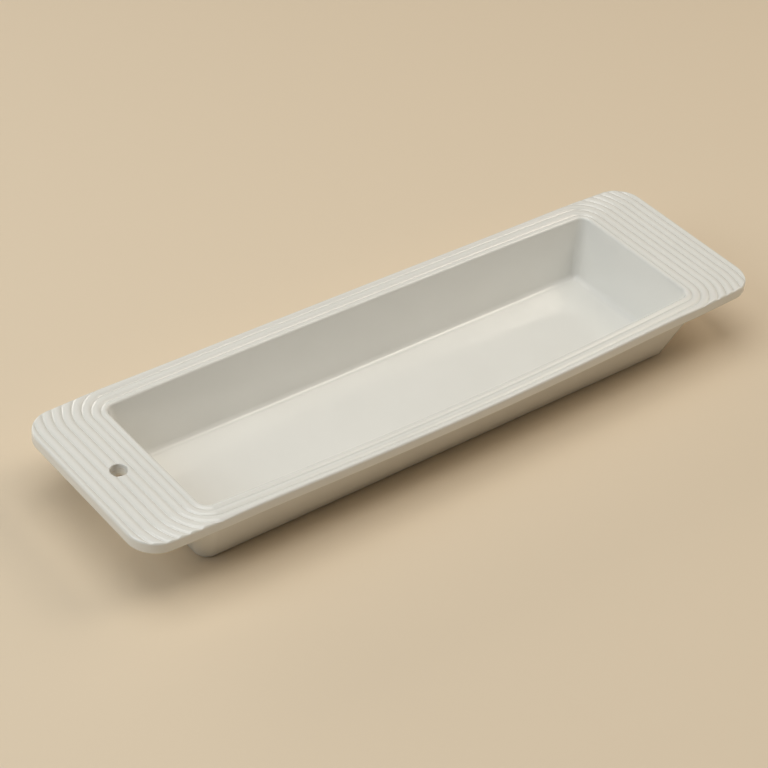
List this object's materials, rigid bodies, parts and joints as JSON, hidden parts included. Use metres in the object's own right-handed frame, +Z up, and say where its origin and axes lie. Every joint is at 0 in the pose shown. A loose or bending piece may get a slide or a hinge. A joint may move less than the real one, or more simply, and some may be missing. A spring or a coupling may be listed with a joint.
{
  "type": "cracker tray",
  "caption": "Long glazed stoneware serving tray with a deep drafted well for a row of crackers, a ridged flat rim, and wide end handles, one with a hanging hole.",
  "frame": {"origin": "on the table, under the middle of the tray", "axes": "+X along the tray, away from the handle with the hanging hole; +Y across it; +Z up"},
  "size_m": [0.335, 0.098, 0.034],
  "materials": {
    "glaze": "glossy warm white glaze over stoneware"
  },
  "bodies": {
    "root": {"tray": "glaze"}
  },
  "joints": []
}
